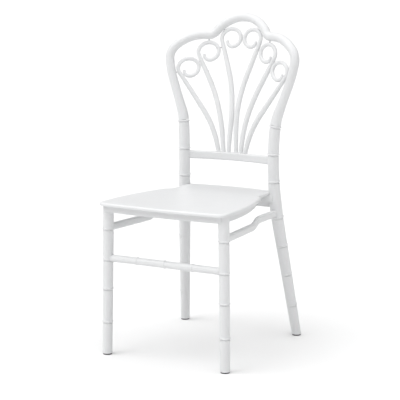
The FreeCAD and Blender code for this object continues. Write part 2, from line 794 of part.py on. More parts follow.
dowel_direction = post_direction(size("crown_joint_height"))
dowel_start = crown_foot - dowel_direction * (size("crown_dowel_length") / 2)
dowel = rod("crown_dowel", "Sizes.crown_dowel_radius", dowel_start, dowel_direction, 1)
dowel.setExpression("Height", "Sizes.crown_dowel_length")
dowel_bore = rod("crown_dowel_bore", "Sizes.crown_dowel_radius + Sizes.joint_clearance",
                 dowel_start - dowel_direction * size("joint_clearance"), dowel_direction,
                 size("crown_dowel_length") + 2 * size("joint_clearance"))
dowel_left = mirrored("crown_dowel_left", dowel)
dowel_bore_left = mirrored("crown_dowel_bore_left", dowel_bore)
dowels = doc.addObject("Part::Compound", "crown_dowel_pair")
dowels.Links = [dowel, dowel_left]
finish(dowels, "crown_dowels")

# pins where a scroll meets its neighbour


def pin_at(name, eye, neighbour_path, neighbour_radius):
    target = min(neighbour_path, key=lambda centre: (centre - eye).Length)
    direction = (target - eye).normalize()
    middle = target - direction * neighbour_radius
    start = middle - direction * (size("pin_length") / 2)
    pin = rod(name, "Sizes.pin_radius", start, direction, size("pin_length"))
    hole = rod(name + "_hole", "Sizes.pin_radius + Sizes.joint_clearance",
               start - direction * size("joint_clearance"), direction,
               size("pin_length") + 2 * size("joint_clearance"))
    return pin, hole


eyes = {kind: on_back(size(kind + "_eye_x"), size("overall_height") - size(kind + "_eye_drop"))
        for kind in spindle_paths}
pins = []
holes = {}
for name, kind, path, reach in (
        ("outer_to_crown", "outer", crown_path, size("crown_tube_radius")),
        ("outer_to_middle", "outer", spindle_paths["middle"][:straight_stations], size("scroll_width") / 2),
        ("middle_to_inner", "middle", spindle_paths["inner"][:straight_stations], size("scroll_width") / 2),
        ("middle_to_crown", "middle", crown_path, size("crown_tube_radius")),
        ("inner_to_crown", "inner", crown_path, size("crown_tube_radius"))):
    pin, hole = pin_at("pin_" + name, eyes[kind], path, reach)
    pins.append(pin)
    holes[name] = hole
inner_eye = eyes["inner"]
centre_pin_start = Vector(-size("pin_length") / 2, inner_eye.y + size("centre_pin_back"), inner_eye.z)
centre_pin = rod("pin_centre", "Sizes.pin_radius", centre_pin_start, Vector(1, 0, 0), size("pin_length"))
centre_hole = rod("pin_centre_hole", "Sizes.pin_radius + Sizes.joint_clearance",
                  centre_pin_start - Vector(size("joint_clearance"), 0, 0), Vector(1, 0, 0),
                  size("pin_length") + 2 * size("joint_clearance"))
pin_group = doc.addObject("Part::Compound", "scroll_pin_group")
pin_group.Links = pins + [mirrored(pin.Name + "_left", pin) for pin in pins] + [centre_pin]
finish(pin_group, "scroll_pins")

crown_holes = [holes["outer_to_crown"], holes["middle_to_crown"], holes["inner_to_crown"]]
crown_holes_left = [mirrored(hole.Name + "_left", hole) for hole in crown_holes]
finish(cut("crown_bow_cut", crown_core, crown_holes + crown_holes_left + [dowel_bore, dowel_bore_left]), "crown_bow")
spindle_holes = {
    "outer": [holes["outer_to_crown"], holes["outer_to_middle"]],
    "middle": [holes["outer_to_middle"], holes["middle_to_inner"], holes["middle_to_crown"]],
    "inner": [holes["middle_to_inner"], holes["inner_to_crown"], centre_hole]}
for kind, drilled in spindle_holes.items():
    spindle = finish(cut(kind + "_spindle_cut", spindle_solids[kind], drilled), "scroll_spindle_%s_right" % kind)
    finish(mirrored(kind + "_spindle_left", spindle), "scroll_spindle_%s_left" % kind)

# seat: a plate with a rounded lip, a skirt, ribs and four bosses


def seat_corners(inset):
    """Corners of half the outline, front to back, each with its rounding."""
    front = -size("overall_depth") / 2
    lift = size("seat_front_bow")
    apex_drop = size("seat_front_radius") * (math.hypot(1, lift / size("seat_half_width")) - 1)
    post_y = post_axis(size("seat_height")).y
    rear_y = post_y - size("seat_rear_before_post")
    side_y = blend(front, rear_y, size("seat_side_share"))
    taper = Vector(size("seat_half_width") - size("seat_rear_width"), rear_y - side_y, 0)
    side_trim = size("seat_side_blend") * taper.Length
    side_radius = side_trim / math.tan(math.atan2(taper.x, taper.y) / 2)
    tab_y = post_y + size("seat_tab_behind_post")
    tab_corner = size("seat_lip_rounding") + size("seat_tab_corner") + inset
    corners = [
        (0.0, front - apex_drop, size("seat_front_radius"), 1),
        (size("seat_half_width"), front - apex_drop + lift, size("seat_front_corner"), 1),
        (size("seat_half_width"), side_y, side_radius, 1),
        (size("seat_rear_width"), rear_y, size("seat_rear_corner"), 1),
        (size("seat_neck_width"), rear_y + size("seat_neck_length"), size("seat_rear_corner"), -1),
        (size("seat_neck_width"), tab_y, tab_corner, 1),
        (0.0, tab_y + size("seat_tab_bow"), size("seat_tab_radius"), 1)]
    whole = corners + [(-x, y, radius, side) for x, y, radius, side in reversed(corners[1:-1])]
    return offset_corners(whole, inset)


def offset_corners(corners, inset):
    """Moves every side of the outline inwards and finds the corners again."""
    moved = []
    count = len(corners)
    for number, (x, y, radius, side) in enumerate(corners):
        before = corners[number - 1]
        after = corners[(number + 1) % count]
        here = Vector(x, y, 0)
        come = (here - Vector(before[0], before[1], 0)).normalize()
        leave = (Vector(after[0], after[1], 0) - here).normalize()
        inward_come = Vector(-come.y, come.x, 0)
        inward_leave = Vector(-leave.y, leave.x, 0)
        shift = (inward_come + inward_leave) * (inset / (1 + inward_come.dot(inward_leave)))
        moved.append((here + shift, radius - side * inset))
    return moved


def rounded_outline(corners):
    """Straight sides joined by tangent arcs, as sketch geometry."""
    count = len(corners)
    arcs = []
    for number, (here, radius) in enumerate(corners):
        come = (corners[number - 1][0] - here).normalize()
        leave = (corners[(number + 1) % count][0] - here).normalize()
        half_angle = math.acos(max(-1.0, min(1.0, come.dot(leave)))) / 2
        trim = radius / math.tan(half_angle)
        middle = (come + leave).normalize()
        bulge = here + middle * (radius / math.sin(half_angle) - radius)
        arcs.append((here + come * trim, bulge, here + leave * trim))
    geometry = []
    for number, (start, bulge, end) in enumerate(arcs):
        geometry.append(Part.Arc(start, bulge, end))
        geometry.append(Part.LineSegment(end, arcs[(number + 1) % count][0]))
    return geometry


seat_top = size("seat_height")
seat_low = seat_top - size("seat_thickness")
seat_body = doc.addObject("PartDesign::Body", "seat_plate")
plate_sketch = sketch_on(seat_body, "seat_outline", "XY_Plane")
plate_sketch.addGeometry(rounded_outline(seat_corners(0.0)), False)
plate_pad = seat_body.newObject("PartDesign::Pad", "seat_pad")
plate_pad.Profile = plate_sketch
plate_pad.setExpression("Length", "Sizes.seat_thickness")
doc.recompute()
top_edges = ["Edge%d" % (number + 1) for number, edge in enumerate(plate_pad.Shape.Edges)
             if edge.BoundBox.ZMin > size("seat_thickness") - 0.01]
lip = seat_body.newObject("PartDesign::Fillet", "seat_lip")
lip.Base = (plate_pad, top_edges)
lip.setExpression("Radius", "Sizes.seat_lip_rounding")
seat_body.Tip = lip
seat_body.Placement = FreeCAD.Placement(Vector(0, 0, seat_low), FreeCAD.Rotation())
doc.recompute()


def seat_prism(name, inset, low, height):
    edges = [curve.toShape() for curve in rounded_outline(seat_corners(inset))]
    face = solid_feature(name + "_face", Part.Face(Part.Wire(Part.__sortEdges__(edges))))
    block = make("Part::Extrusion", name, Base=face, Dir=Vector(0, 0, 1), Solid=True, LengthFwd=height)
    block.DirMode = "Custom"
    block.Placement = FreeCAD.Placement(Vector(0, 0, low), FreeCAD.Rotation())
    return block


weld = 1.0
skirt_low = seat_low - size("skirt_depth")
skirt_block = seat_prism("skirt_block", size("skirt_inset"), skirt_low, size("skirt_depth") + weld)
skirt_space = seat_prism("skirt_space", size("skirt_inset") + size("skirt_wall"), skirt_low - weld,
                         size("skirt_depth") + 3 * weld)
neck_y = post_axis(size("seat_height")).y - size("seat_rear_before_post") + size("seat_neck_length")
neck_relief = make("Part::Box", "neck_relief", Length="2 * Sizes.seat_half_width", Width="Sizes.overall_depth",
                   Height=size("skirt_depth") - size("neck_skirt_depth") + weld)
neck_relief.Placement.Base = Vector(-size("seat_half_width"), neck_y, skirt_low - weld)
skirt = cut("seat_skirt", skirt_block, [skirt_space, neck_relief])

# an apron across the back of the seat, from post to post, closes the frame below it

apron_post = post_axis(seat_low - size("rear_apron_depth") / 2)
rear_apron = make("Part::Box", "rear_apron", Length=2 * apron_post.x, Width="Sizes.rear_apron_wall",
                  Height=size("rear_apron_depth") + weld)
rear_apron.Placement.Base = Vector(-apron_post.x, apron_post.y + size("rear_apron_back"),
                                   seat_low - size("rear_apron_depth"))

rib_low = seat_low - size("rib_depth")
rib_boxes = []
half_wide = size("seat_half_width")
long_ribs = int(half_wide // size("rib_pitch"))
for number in range(-long_ribs, long_ribs + 1):
    rib = make("Part::Box", "long_rib", Length="Sizes.rib_thickness", Width="Sizes.overall_depth",
               Height=size("rib_depth") + weld)
    rib.Placement.Base = Vector(number * size("rib_pitch") - size("rib_thickness") / 2,
                                -size("overall_depth") / 2, rib_low)
    rib_boxes.append(rib)
seat_length = apron_post.y + size("overall_depth") / 2
for number in range(1, int(seat_length // size("rib_pitch")) + 1):
    rib = make("Part::Box", "cross_rib", Length="2 * Sizes.seat_half_width", Width="Sizes.rib_thickness",
               Height=size("rib_depth") + weld)
    rib.Placement.Base = Vector(-half_wide, -size("overall_depth") / 2 + number * size("rib_pitch"), rib_low)
    rib_boxes.append(rib)
rib_grid = fuse("rib_grid", rib_boxes)
rib_area = seat_prism("rib_area", size("skirt_inset") + size("skirt_wall") - weld, rib_low - weld,
                      size("rib_depth") + 3 * weld)
ribs = doc.addObject("Part::Common", "seat_ribs")
ribs.Base = rib_grid
ribs.Tool = rib_area

# each corner of the seat is bolted through a boss into an insert in the leg beside it

seat_room = [leg_room, leg_room_left, post_room, post_room_left]
bosses = []
bolts = []
inserts = []
bolt_holes = []
insert_holes = {}
bolt_z = seat_low - size("boss_depth") / 2
for name, axis_at, radius_at, forward in (("front", leg_axis, leg_radius_at, 0.0),
                                          ("rear", post_axis, post_radius_at, size("rear_bolt_forward"))):
    centre = axis_at(bolt_z) - Vector(0, forward, 0)
    face_x = centre.x - radius_at(bolt_z)
    boss = make("Part::Box", name + "_boss", Length=size("boss_size") + radius_at(bolt_z),
                Width="Sizes.boss_size", Height=size("boss_depth") + weld)
    boss.Placement.Base = Vector(face_x - size("boss_size"), centre.y - size("boss_size") / 2,
                                 seat_low - size("boss_depth"))
    if name == "front":
        boss_area = seat_prism("boss_area", size("skirt_inset"), seat_low - size("boss_depth") - weld,
                               size("boss_depth") + 3 * weld)
        inside = doc.addObject("Part::Common", "front_boss_inside")
        inside.Base = boss
        inside.Tool = boss_area
        bosses.append(inside)
    else:
        bosses.append(boss)
    head_x = face_x - size("boss_size") - size("bolt_head_height") - size("joint_clearance")
    head = rod(name + "_bolt_head", "Sizes.bolt_head_radius", Vector(head_x, centre.y, bolt_z), Vector(1, 0, 0), 1)
    head.setExpression("Height", "Sizes.bolt_head_height")
    shank = rod(name + "_bolt_shank", "Sizes.bolt_radius", Vector(head_x, centre.y, bolt_z), Vector(1, 0, 0), 1)
    shank.setExpression("Height", "Sizes.bolt_length")
    bolts.append(fuse(name + "_bolt", [head, shank]))
    bolt_hole = rod(name + "_bolt_hole", "Sizes.bolt_radius + Sizes.joint_clearance",
                    Vector(head_x, centre.y, bolt_z), Vector(1, 0, 0), size("bolt_length") + weld)
    head_room = rod(name + "_bolt_head_room", "Sizes.bolt_head_radius + 2 * Sizes.joint_clearance",
                    Vector(head_x, centre.y, bolt_z), Vector(1, 0, 0), 1)
    head_room.setExpression("Height", "Sizes.bolt_head_height + Sizes.joint_clearance")
    bolt_holes += [bolt_hole, head_room]
    insert_x = face_x + size("insert_recess")
    insert_solid = rod(name + "_insert_solid", "Sizes.insert_radius", Vector(insert_x, centre.y, bolt_z),
                       Vector(1, 0, 0), 1)
    insert_solid.setExpression("Height", "Sizes.insert_length")
    inserts.append(cut(name + "_insert", insert_solid, [bolt_hole]))
    insert_holes[name] = rod(name + "_insert_hole", "Sizes.insert_radius + Sizes.joint_clearance",
                             Vector(face_x - weld * 2, centre.y, bolt_z), Vector(1, 0, 0),
                             size("insert_length") + size("insert_recess") + 2 * weld + size("joint_clearance"))

bosses_left = [mirrored(boss.Name + "_left", boss) for boss in bosses]
bolt_holes_left = [mirrored(hole.Name + "_left", hole) for hole in bolt_holes]
seat_joined = fuse("seat_joined", [seat_body, skirt, ribs, rear_apron] + bosses + bosses_left)
finish(cut("seat_cut", seat_joined, seat_room + bolt_holes + bolt_holes_left), "seat_panel")
bolt_group = doc.addObject("Part::Compound", "seat_bolt_group")
bolt_group.Links = bolts + [mirrored(bolt.Name + "_left", bolt) for bolt in bolts]
finish(bolt_group, "seat_bolts")
insert_group = doc.addObject("Part::Compound", "seat_insert_group")
insert_group.Links = inserts + [mirrored(insert.Name + "_left", insert) for insert in inserts]
finish(insert_group, "seat_bolt_inserts")

# the legs, with every socket cut

leg_joined = fuse("leg_joined", [leg_core] + leg_beads)
front_leg = finish(cut("front_leg_cut", leg_joined, [
    floor_cut, glide_stem_bores["front"], front_socket, side_front_socket,
    insert_holes["front"]]), "front_leg_right")
finish(mirrored("front_leg_left_copy", front_leg), "front_leg_left")
post_joined = fuse("post_joined", [post_core] + post_beads)
rear_post = finish(cut("rear_post_cut", post_joined, [
    floor_cut, glide_stem_bores["rear"], rail_socket, side_rear_socket, dowel_bore,
    insert_holes["rear"]]), "rear_post_right")
finish(mirrored("rear_post_left_copy", rear_post), "rear_post_left")

doc.recompute()

for piece in doc.Objects:
    if "Invalid" in piece.State or "Error" in piece.State:
        raise RuntimeError("%s failed: %s" % (piece.Name, piece.State))
for piece in finished:
    if piece.Shape.isNull() or not piece.Shape.isValid():
        raise RuntimeError("%s has no valid shape" % piece.Label)

os.makedirs("parts", exist_ok=True)
whole = FreeCAD.BoundBox()
for piece in finished:
    piece.Shape.exportStep("parts/%s.step" % piece.Label)
    whole.add(piece.Shape.optimalBoundingBox(False))
print("%d nodes" % len(finished))
print("X %.2f to %.2f, Y %.2f to %.2f, Z %.2f to %.2f" % (
    whole.XMin, whole.XMax, whole.YMin, whole.YMax, whole.ZMin, whole.ZMax))
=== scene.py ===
import bisect
import json
import math
import bpy
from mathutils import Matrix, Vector


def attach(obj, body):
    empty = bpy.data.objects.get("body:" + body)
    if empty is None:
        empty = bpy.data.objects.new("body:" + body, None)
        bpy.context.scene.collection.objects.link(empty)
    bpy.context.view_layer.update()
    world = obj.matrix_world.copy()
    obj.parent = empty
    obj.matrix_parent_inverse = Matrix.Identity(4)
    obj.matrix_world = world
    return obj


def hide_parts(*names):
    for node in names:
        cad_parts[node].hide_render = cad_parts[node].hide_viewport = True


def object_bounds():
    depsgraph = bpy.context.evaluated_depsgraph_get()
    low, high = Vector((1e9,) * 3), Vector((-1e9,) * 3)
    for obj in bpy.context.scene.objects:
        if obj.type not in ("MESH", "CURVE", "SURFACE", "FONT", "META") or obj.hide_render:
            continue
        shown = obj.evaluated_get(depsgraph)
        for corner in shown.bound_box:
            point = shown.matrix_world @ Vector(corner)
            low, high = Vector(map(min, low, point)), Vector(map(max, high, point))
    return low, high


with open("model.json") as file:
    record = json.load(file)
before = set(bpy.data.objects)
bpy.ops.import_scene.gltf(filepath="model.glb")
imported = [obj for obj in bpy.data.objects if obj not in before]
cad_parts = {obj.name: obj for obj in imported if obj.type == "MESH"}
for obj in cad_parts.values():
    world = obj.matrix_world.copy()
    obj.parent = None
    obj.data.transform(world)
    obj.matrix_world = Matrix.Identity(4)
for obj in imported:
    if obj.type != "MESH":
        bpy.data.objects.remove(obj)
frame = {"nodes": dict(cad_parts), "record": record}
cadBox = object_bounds()
print("frame loaded", len(frame["nodes"]), "nodes")

# camera, at the photograph's angle; tilt and pan in degrees, lens and sensor in millimetres
camera = {
    "place": (1.9568, -3.518, 1.1313), "tilt": 80.07, "pan": 29.25, "lens": 128.25, "sensor": 36.0,
    "clipEnd": 200.0,
}
lens = bpy.data.cameras.new("cameraLens")
lens.lens = camera["lens"]
lens.sensor_width = camera["sensor"]
lens.clip_end = camera["clipEnd"]
cameraObject = bpy.data.objects.new("cameraObject", lens)
cameraObject.location = camera["place"]
cameraObject.rotation_euler = (math.radians(camera["tilt"]), 0.0, math.radians(camera["pan"]))
bpy.context.scene.collection.objects.link(cameraObject)
bpy.context.scene.camera = cameraObject
print("camera placed")


class Value:
    # a shader socket; an expression on values adds its Math nodes
    def __init__(self, tree, socket):
        self.tree = tree
        self.socket = socket

    def join(self, operation, first, second):
        node = self.tree.nodes.new("ShaderNodeMath")
        node.operation = operation
        for entry, given in zip(node.inputs, (first, second)):
            if isinstance(given, Value):
                self.tree.links.new(given.socket, entry)
            else:
                entry.default_value = given
        return Value(self.tree, node.outputs[0])

    def __add__(self, other):
        return self.join("ADD", self, other)

    def __radd__(self, other):
        return self.join("ADD", other, self)

    def __sub__(self, other):
        return self.join("SUBTRACT", self, other)

    def __rsub__(self, other):
        return self.join("SUBTRACT", other, self)

    def __mul__(self, other):
        return self.join("MULTIPLY", self, other)

    def __rmul__(self, other):
        return self.join("MULTIPLY", other, self)


class Finish:
    # one material: its nodes and its shader
    def __init__(self, name):
        self.material = bpy.data.materials.new(name)
        self.material.use_nodes = True
        self.tree = self.material.node_tree
        self.shader = self.tree.nodes["Principled BSDF"]

    def fill(self, entry, value):
        # links a value to the socket, or sets a constant on it
        if isinstance(value, Value):
            self.tree.links.new(value.socket, entry)
        else:
            entry.default_value = value

    def node(self, kind, settings=None, inputs=None, output=0):
        made = self.tree.nodes.new(kind)
        for name, value in (settings or {}).items():
            setattr(made, name, value)
        for name, value in (inputs or {}).items():
            self.fill(made.inputs[name], value)
        return Value(self.tree, made.outputs[output])

    def place(self):
        return self.node("ShaderNodeTexCoord", output="Object")

    def noise(self, place, scale, detail, roughness=0.5):
        inputs = {"Vector": place, "Scale": scale, "Detail": detail, "Roughness": roughness}
        return self.node("ShaderNodeTexNoise", inputs=inputs)

    def mix(self, factor, first, last):
        # a colour mix has its factor in socket 0 and its colours in 6 and 7, and gives its result in 2
        return self.node("ShaderNodeMix", {"data_type": "RGBA"}, {0: factor, 6: first, 7: last}, 2)

    def give(self, socket, value):
        self.fill(self.shader.inputs[socket], value)


noiseMiddle = 0.5


def resinFinish(name, tone):
    made = Finish(name)
    place = made.place()
    broad = made.noise(place, tone["broadScale"], tone["broadDetail"])
    fine = made.noise(place, tone["fineScale"], tone["fineDetail"], tone["fineRoughness"])
    swell = made.noise(place, tone["swellScale"], tone["swellDetail"])
    made.give("Base Color", made.mix(broad, tone["light"], tone["dark"]))
    spread = tone["roughSpread"]
    made.give("Roughness", tone["rough"] + (fine - noiseMiddle) * spread + (broad - noiseMiddle) * spread)
    height = fine * tone["fineHeight"] + swell * tone["swellHeight"]
    bump = {"Strength": 1.0, "Distance": 1.0, "Height": height}
    made.give("Normal", made.node("ShaderNodeBump", inputs=bump))
    made.give("Metallic", tone["metal"])
    made.give("IOR", tone["ior"])
    return made.material


resinTone = {
    "light": (0.735, 0.74, 0.745, 1), "dark": (0.705, 0.71, 0.717, 1), "broadScale": 9.0, "broadDetail": 2.0,
    "fineScale": 900.0, "fineDetail": 3.0, "fineRoughness": 0.6, "fineHeight": 0.00004,
    "swellScale": 26.0, "swellDetail": 1.0, "swellHeight": 0.0002,
    "rough": 0.42, "roughSpread": 0.12, "metal": 0.0, "ior": 1.49,
}
resin = resinFinish("whiteResin", resinTone)
glideTone = dict(resinTone, light=(0.05, 0.05, 0.055, 1), dark=(0.035, 0.035, 0.04, 1), rough=0.6)
glide = resinFinish("greyGlide", glideTone)
steelTone = dict(resinTone, light=(0.55, 0.55, 0.56, 1), dark=(0.45, 0.45, 0.47, 1), rough=0.3, metal=1.0)
steel = resinFinish("zincSteel", steelTone)
brassTone = dict(resinTone, light=(0.72, 0.52, 0.22, 1), dark=(0.60, 0.42, 0.17, 1), rough=0.34, metal=1.0)
brass = resinFinish("turnedBrass", brassTone)

slotFinish = {"resin": resin, "glide": glide, "steel": steel, "brass": brass}
nodeSlot = {entry["node"]: entry["material_slot"] for entry in frame["record"]["subparts"]}
for name, node in frame["nodes"].items():
    for slot in node.material_slots:
        slot.material = slotFinish[nodeSlot[name]]
print("finishes given")


def keep(piece, node):
    # the piece stands for one node of the frame, and has that node's slot and finish
    slot = nodeSlot[node]
    piece.data.materials.clear()
    piece.data.materials.append(slotFinish[slot])
    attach(piece, "root")
    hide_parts(node)


def turnedRod(name, rows, sides):
    # a straight rod stood on its end, drawn out ring by ring; rows are (height, radius)
    bpy.ops.object.select_all(action="DESELECT")
    bpy.ops.mesh.primitive_circle_add(vertices=sides, radius=rows[0][1], fill_type="NGON", location=(0, 0, 0))
    rod = bpy.context.object
    rod.name = name
    rod.data.name = name
    bpy.ops.object.mode_set(mode="EDIT")
    bpy.ops.mesh.select_all(action="SELECT")
    for (low, narrow), (high, wide) in zip(rows, rows[1:]):
        bpy.ops.mesh.extrude_region_move(TRANSFORM_OT_translate={"value": (0, 0, high - low)})
        bpy.ops.transform.resize(value=(wide / narrow, wide / narrow, 1), center_override=(0, 0, high))
    bpy.ops.mesh.select_all(action="SELECT")
    bpy.ops.mesh.normals_make_consistent(inside=False)
    bpy.ops.object.mode_set(mode="OBJECT")
    return rod


class Path:
    # points in space, read by the length along them
    def __init__(self, points):
        self.points = [Vector(point) for point in points]
        self.reach = [0.0]
        for before, after in zip(self.points, self.points[1:]):
            self.reach.append(self.reach[-1] + (after - before).length)
        self.length = self.reach[-1]

    def tangent(self, number):
        before = self.points[max(number - 1, 0)]
        after = self.points[min(number + 1, len(self.points) - 1)]
        return (after - before).normalized()

    def at(self, length):
        number = min(max(bisect.bisect_right(self.reach, length) - 1, 0), len(self.points) - 2)
        gap = self.reach[number + 1] - self.reach[number]
        share = (length - self.reach[number]) / gap
        centre = self.points[number].lerp(self.points[number + 1], share)
        if share < 0 or share > 1:
            return centre, self.tangent(number if share < 0 else number + 1)
        return centre, self.tangent(number).lerp(self.tangent(number + 1), share).normalized()


backward = Vector((0, 1, 0))  # from the chair's front to its back
smoothAngle = 38  # degrees; a sharper edge, such as that of a cut end, stays sharp


def bendAlong(rod, path, flatness=1.0):
    # lays the straight rod along the path; it is flattened towards the front and back
    for corner in rod.data.vertices:
        centre, forward = path.at(corner.co.z)
        across = forward.cross(backward).normalized()
        corner.co = centre + across * corner.co.x + forward.cross(across) * (corner.co.y * flatness)
    rod.data.update()


def pick(rod):
    bpy.ops.object.select_all(action="DESELECT")
    rod.select_set(True)
    bpy.context.view_layer.objects.active = rod


def trimBelow(rod, height):
    # cuts the foot off level and closes it
    pick(rod)
    bpy.ops.object.mode_set(mode="EDIT")
    bpy.ops.mesh.select_all(action="SELECT")
    bpy.ops.mesh.bisect(plane_co=(0, 0, height), plane_no=(0, 0, 1), use_fill=True, clear_inner=True)
    bpy.ops.object.mode_set(mode="OBJECT")


def smoothTube(rod):
    pick(rod)
    bpy.ops.object.shade_smooth_by_angle(angle=math.radians(smoothAngle))


def onLeft(piece, name):
    # the same piece across the middle of the chair, with a mesh of its own
    other = piece.copy()
    other.data = piece.data.copy()
    other.name = name
    other.data.name = name
    bpy.context.scene.collection.objects.link(other)
    for corner in other.data.vertices:
        corner.co.x = -corner.co.x
    other.data.flip_normals()
    return other


def blend(first, last, share):
    return first + (last - first) * min(max(share, 0.0), 1.0)


# a bamboo ring: a bead that stands proud, and a fine groove under it; both outlines are shares of its sizes
bambooRing = {
    "rise": 0.0016, "halfBead": 0.0026, "bead": (-1.0, -0.8, -0.5, -0.15, 0.2, 0.55, 0.85, 1.0),
    "grooveWidth": 0.0034, "grooveDepth": 0.0019, "groove": ((1.0, 0.0), (0.75, 0.7), (0.5, 1.0), (0.2, 0.8)),
    "clear": 0.0012,  # no plain row comes nearer to a ring's rows
}


def ringRows(middle, radiusAt):
    half = bambooRing["halfBead"]
    rows = []
    for share, deep in bambooRing["groove"]:
        place = middle - half - bambooRing["grooveWidth"] * share
        rows.append((place, radiusAt(place) - bambooRing["grooveDepth"] * deep))
    for share in bambooRing["bead"]:
        place = middle + half * share
        rows.append((place, radiusAt(place) + bambooRing["rise"] * math.sqrt(max(0.0, 1 - share * share))))
    return rows


def rodRows(length, radiusAt, middles, gap):
    # rings where they belong and plain rows between them
    rows = []
    for middle in middles:
        rows += ringRows(middle, radiusAt)
    taken = [place for place, radius in rows]
    count = math.ceil(length / gap)
    for number in range(count + 1):
        place = length * number / count
        if all(abs(place - other) > bambooRing["clear"] for other in taken):
            rows.append((place, radiusAt(place)))
    rows.sort()
    return [row for row in rows if 0.0 <= row[0] <= length]


# front legs
legSizes = {
    "foot": (0.190, -0.2236, 0.0), "top": (0.1828, -0.2206, 0.43225), "footRadius": 0.0139,
    "topRadius": 0.0155, "rings": (0.0965, 0.1924, 0.2767, 0.3638), "glideTop": 0.0036, "rowGap": 0.03,
    "sides": 48,
}
legPath = Path([legSizes["foot"], legSizes["top"]])


def legRadius(place):
    return blend(legSizes["footRadius"], legSizes["topRadius"], place / legPath.length)


legRings = [height * legPath.length / legSizes["top"][2] for height in legSizes["rings"]]
legRows = rodRows(legPath.length, legRadius, legRings, legSizes["rowGap"])
legRight = turnedRod("frontLegRight", legRows, legSizes["sides"])
bendAlong(legRight, legPath)
trimBelow(legRight, legSizes["glideTop"])
smoothTube(legRight)
keep(onLeft(legRight, "frontLegLeft"), "front_leg_left")
keep(legRight, "front_leg_right")
print("front legs turned")

# the surface that the whole back is bent on
backShape = {
    "leanStart": 0.550, "leanRamp": 0.150, "leanSlope": 0.19, "bowDepth": 0.027, "bowGrowth": 0.045,
    "halfWidth": 0.1525, "tubeRadius": 0.0132,
}
crownTop = max(corner[2] for corner in cadBox) - backShape["tubeRadius"]


def backLean(z):
    rise = z - backShape["leanStart"]
    if rise <= 0:
        return 0.0
    if rise < backShape["leanRamp"]:
        return backShape["leanSlope"] * rise * rise / (2 * backShape["leanRamp"])
    return backShape["leanSlope"] * (rise - backShape["leanRamp"] / 2)


def backBow(x, z):
    depth = backShape["bowDepth"] + backShape["bowGrowth"] * (z - backShape["leanStart"])
    return depth * math.cos(math.pi / 2 * x / backShape["halfWidth"])


# the crown's top is the rearmost point of the chair
backPlace = (max(corner[1] for corner in cadBox) - backShape["tubeRadius"]
             - backLean(crownTop) - backBow(0, crownTop))


def onBack(x, z):
    return Vector((x, backPlace + backLean(z) + backBow(x, z), z))


# back legs that run up into the posts
postSizes = {
    "spacing": 0.148, "flare": 0.0045, "flareStart": 0.545, "splay": 0.044, "rake": 0.079,
    "kneeRadius": 1.040, "kneeHeight": 0.400, "top": 0.6346, "footRadius": 0.0139, "kneeTube": 0.0183,
    "ringTube": 0.0166, "topTube": 0.0162, "outerRings": (0.097, 0.1926, 0.280, 0.3656),
    "wholeRings": (0.4715, 0.551, 0.6314), "ringFade": 4.0, "fadeMargin": 0.01, "glideTop": 0.0036,
    "start": -0.004,  # a little under the floor, so that the foot can be cut level
    "step": 0.008, "rowGap": 0.012, "sides": 48,
}
splayReach = math.hypot(postSizes["splay"], postSizes["rake"])
kneePhase = math.atan2(postSizes["flareStart"], postSizes["kneeRadius"] - splayReach)
kneeSpan = math.hypot(postSizes["flareStart"], postSizes["kneeRadius"] - splayReach)
rakeAngle = kneePhase - math.acos(postSizes["kneeRadius"] / kneeSpan)
rakeTop = postSizes["flareStart"] - postSizes["kneeRadius"] * math.sin(rakeAngle)
flareRise = postSizes["top"] - postSizes["flareStart"]
flareAngle = math.atan(2 * postSizes["flare"] / flareRise)
lowPostRing = postSizes["wholeRings"][0]


def postCentre(z):
    if z > postSizes["flareStart"]:
        share = (z - postSizes["flareStart"]) / flareRise
        return onBack(postSizes["spacing"] + postSizes["flare"] * share ** 2, z)
    knee = postSizes["kneeRadius"]
    if z < rakeTop:
        out = knee * (1 - math.cos(rakeAngle)) + (rakeTop - z) * math.tan(rakeAngle)
    else:
        out = knee - math.sqrt(knee ** 2 - (postSizes["flareStart"] - z) ** 2)
    start = onBack(postSizes["spacing"], postSizes["flareStart"])
    share = out / splayReach
    return Vector((start.x + share * postSizes["splay"], start.y + share * postSizes["rake"], z))


postSteps = math.ceil((postSizes["top"] - postSizes["start"]) / postSizes["step"])
postShares = [number / postSteps for number in range(postSteps + 1)]
postHeights = [blend(postSizes["start"], postSizes["top"], share) for share in postShares]
postPath = Path([postCentre(z) for z in postHeights])


def postReach(z):
    # the length along the post at this height
    number = min(bisect.bisect_right(postHeights, z) - 1, postSteps - 1)
    share = (z - postHeights[number]) / (postHeights[number + 1] - postHeights[number])
    return blend(postPath.reach[number], postPath.reach[number + 1], share)


def postRadius(place):
    z = postPath.at(place)[0].z
    if z < postSizes["kneeHeight"]:
        return blend(postSizes["footRadius"], postSizes["kneeTube"], z / postSizes["kneeHeight"])
    if z < lowPostRing:
        share = (z - postSizes["kneeHeight"]) / (lowPostRing - postSizes["kneeHeight"])
        return blend(postSizes["kneeTube"], postSizes["ringTube"], share)
    share = (z - lowPostRing) / (postSizes["top"] - lowPostRing)
    return blend(postSizes["ringTube"], postSizes["topTube"], share)


postRings = [postReach(z) for z in postSizes["outerRings"] + postSizes["wholeRings"]]
postRows = rodRows(postPath.length, postRadius, postRings, postSizes["rowGap"])
postRight = turnedRod("rearPostRight", postRows, postSizes["sides"])
fadeTop = postReach(lowPostRing) - postSizes["fadeMargin"]
for corner in postRight.data.vertices:
    # the rings of the back legs fade out towards the middle of the chair
    if corner.co.z < fadeTop:
        plain = postRadius(corner.co.z)
        stand = math.hypot(corner.co.x, corner.co.y) - plain
        outside = min(max(0.5 - postSizes["ringFade"] * corner.co.x / plain, 0.0), 1.0)
        slimmer = (plain + stand * outside) / (plain + stand)
        corner.co.x *= slimmer
        corner.co.y *= slimmer
bendAlong(postRight, postPath)
trimBelow(postRight, postSizes["glideTop"])
smoothTube(postRight)
keep(onLeft(postRight, "rearPostLeft"), "rear_post_left")
keep(postRight, "rear_post_right")
print("back legs and posts bent")

